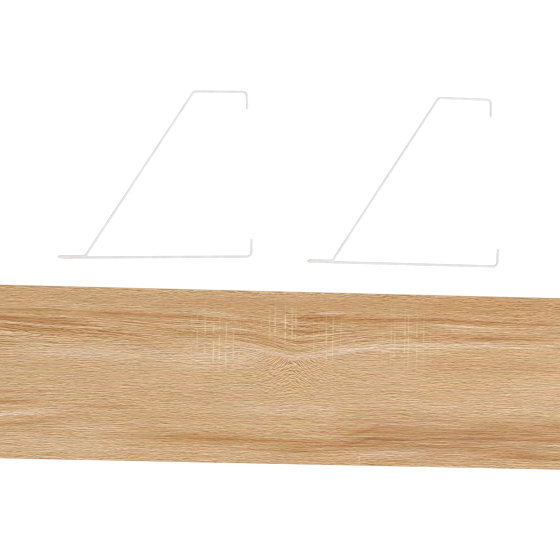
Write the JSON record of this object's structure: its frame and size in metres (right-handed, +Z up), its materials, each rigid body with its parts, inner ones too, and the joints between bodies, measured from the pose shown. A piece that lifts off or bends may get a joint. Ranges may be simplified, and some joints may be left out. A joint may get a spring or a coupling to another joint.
{
  "type": "wall shelf with brackets",
  "caption": "Flat-laid wall shelf kit: a plain oak-grain board beside bent white wire hanging brackets, each with a hairpin eye, a slanting brace, a lip and end hooks that carry the board.",
  "frame": {"origin": "middle of the board's underside, on the surface that the kit lies on", "axes": "+X along the board, +Y across the board towards the brackets, +Z up from the surface, out of the board's top face"},
  "size_m": [0.8, 0.435, 0.016],
  "materials": {
    "oak_melamine": "matt melamine with a sawn light oak grain along the board",
    "edge_banding": "matt oak-grain edge band",
    "particleboard": "raw pressed chips, hidden inside the board",
    "white_powder_coat": "satin white powder coat on steel wire"
  },
  "bodies": {
    "board": {"board_core": "particleboard", "top_face": "oak_melamine", "bottom_face": "oak_melamine", "front_edge_band": "edge_banding", "back_edge_band": "edge_banding", "left_end_band": "edge_banding", "right_end_band": "edge_banding"},
    "left_bracket": {"left_bracket_wire": "white_powder_coat"},
    "right_bracket": {"right_bracket_wire": "white_powder_coat"}
  },
  "joints": [
    {"name": "left_bracket_lift", "type": "slide", "parent": "board", "child": "left_bracket", "axis": [0, 0, 1], "range_m": [0, 0.25]},
    {"name": "right_bracket_lift", "type": "slide", "parent": "board", "child": "right_bracket", "axis": [0, 0, 1], "range_m": [0, 0.25]}
  ]
}
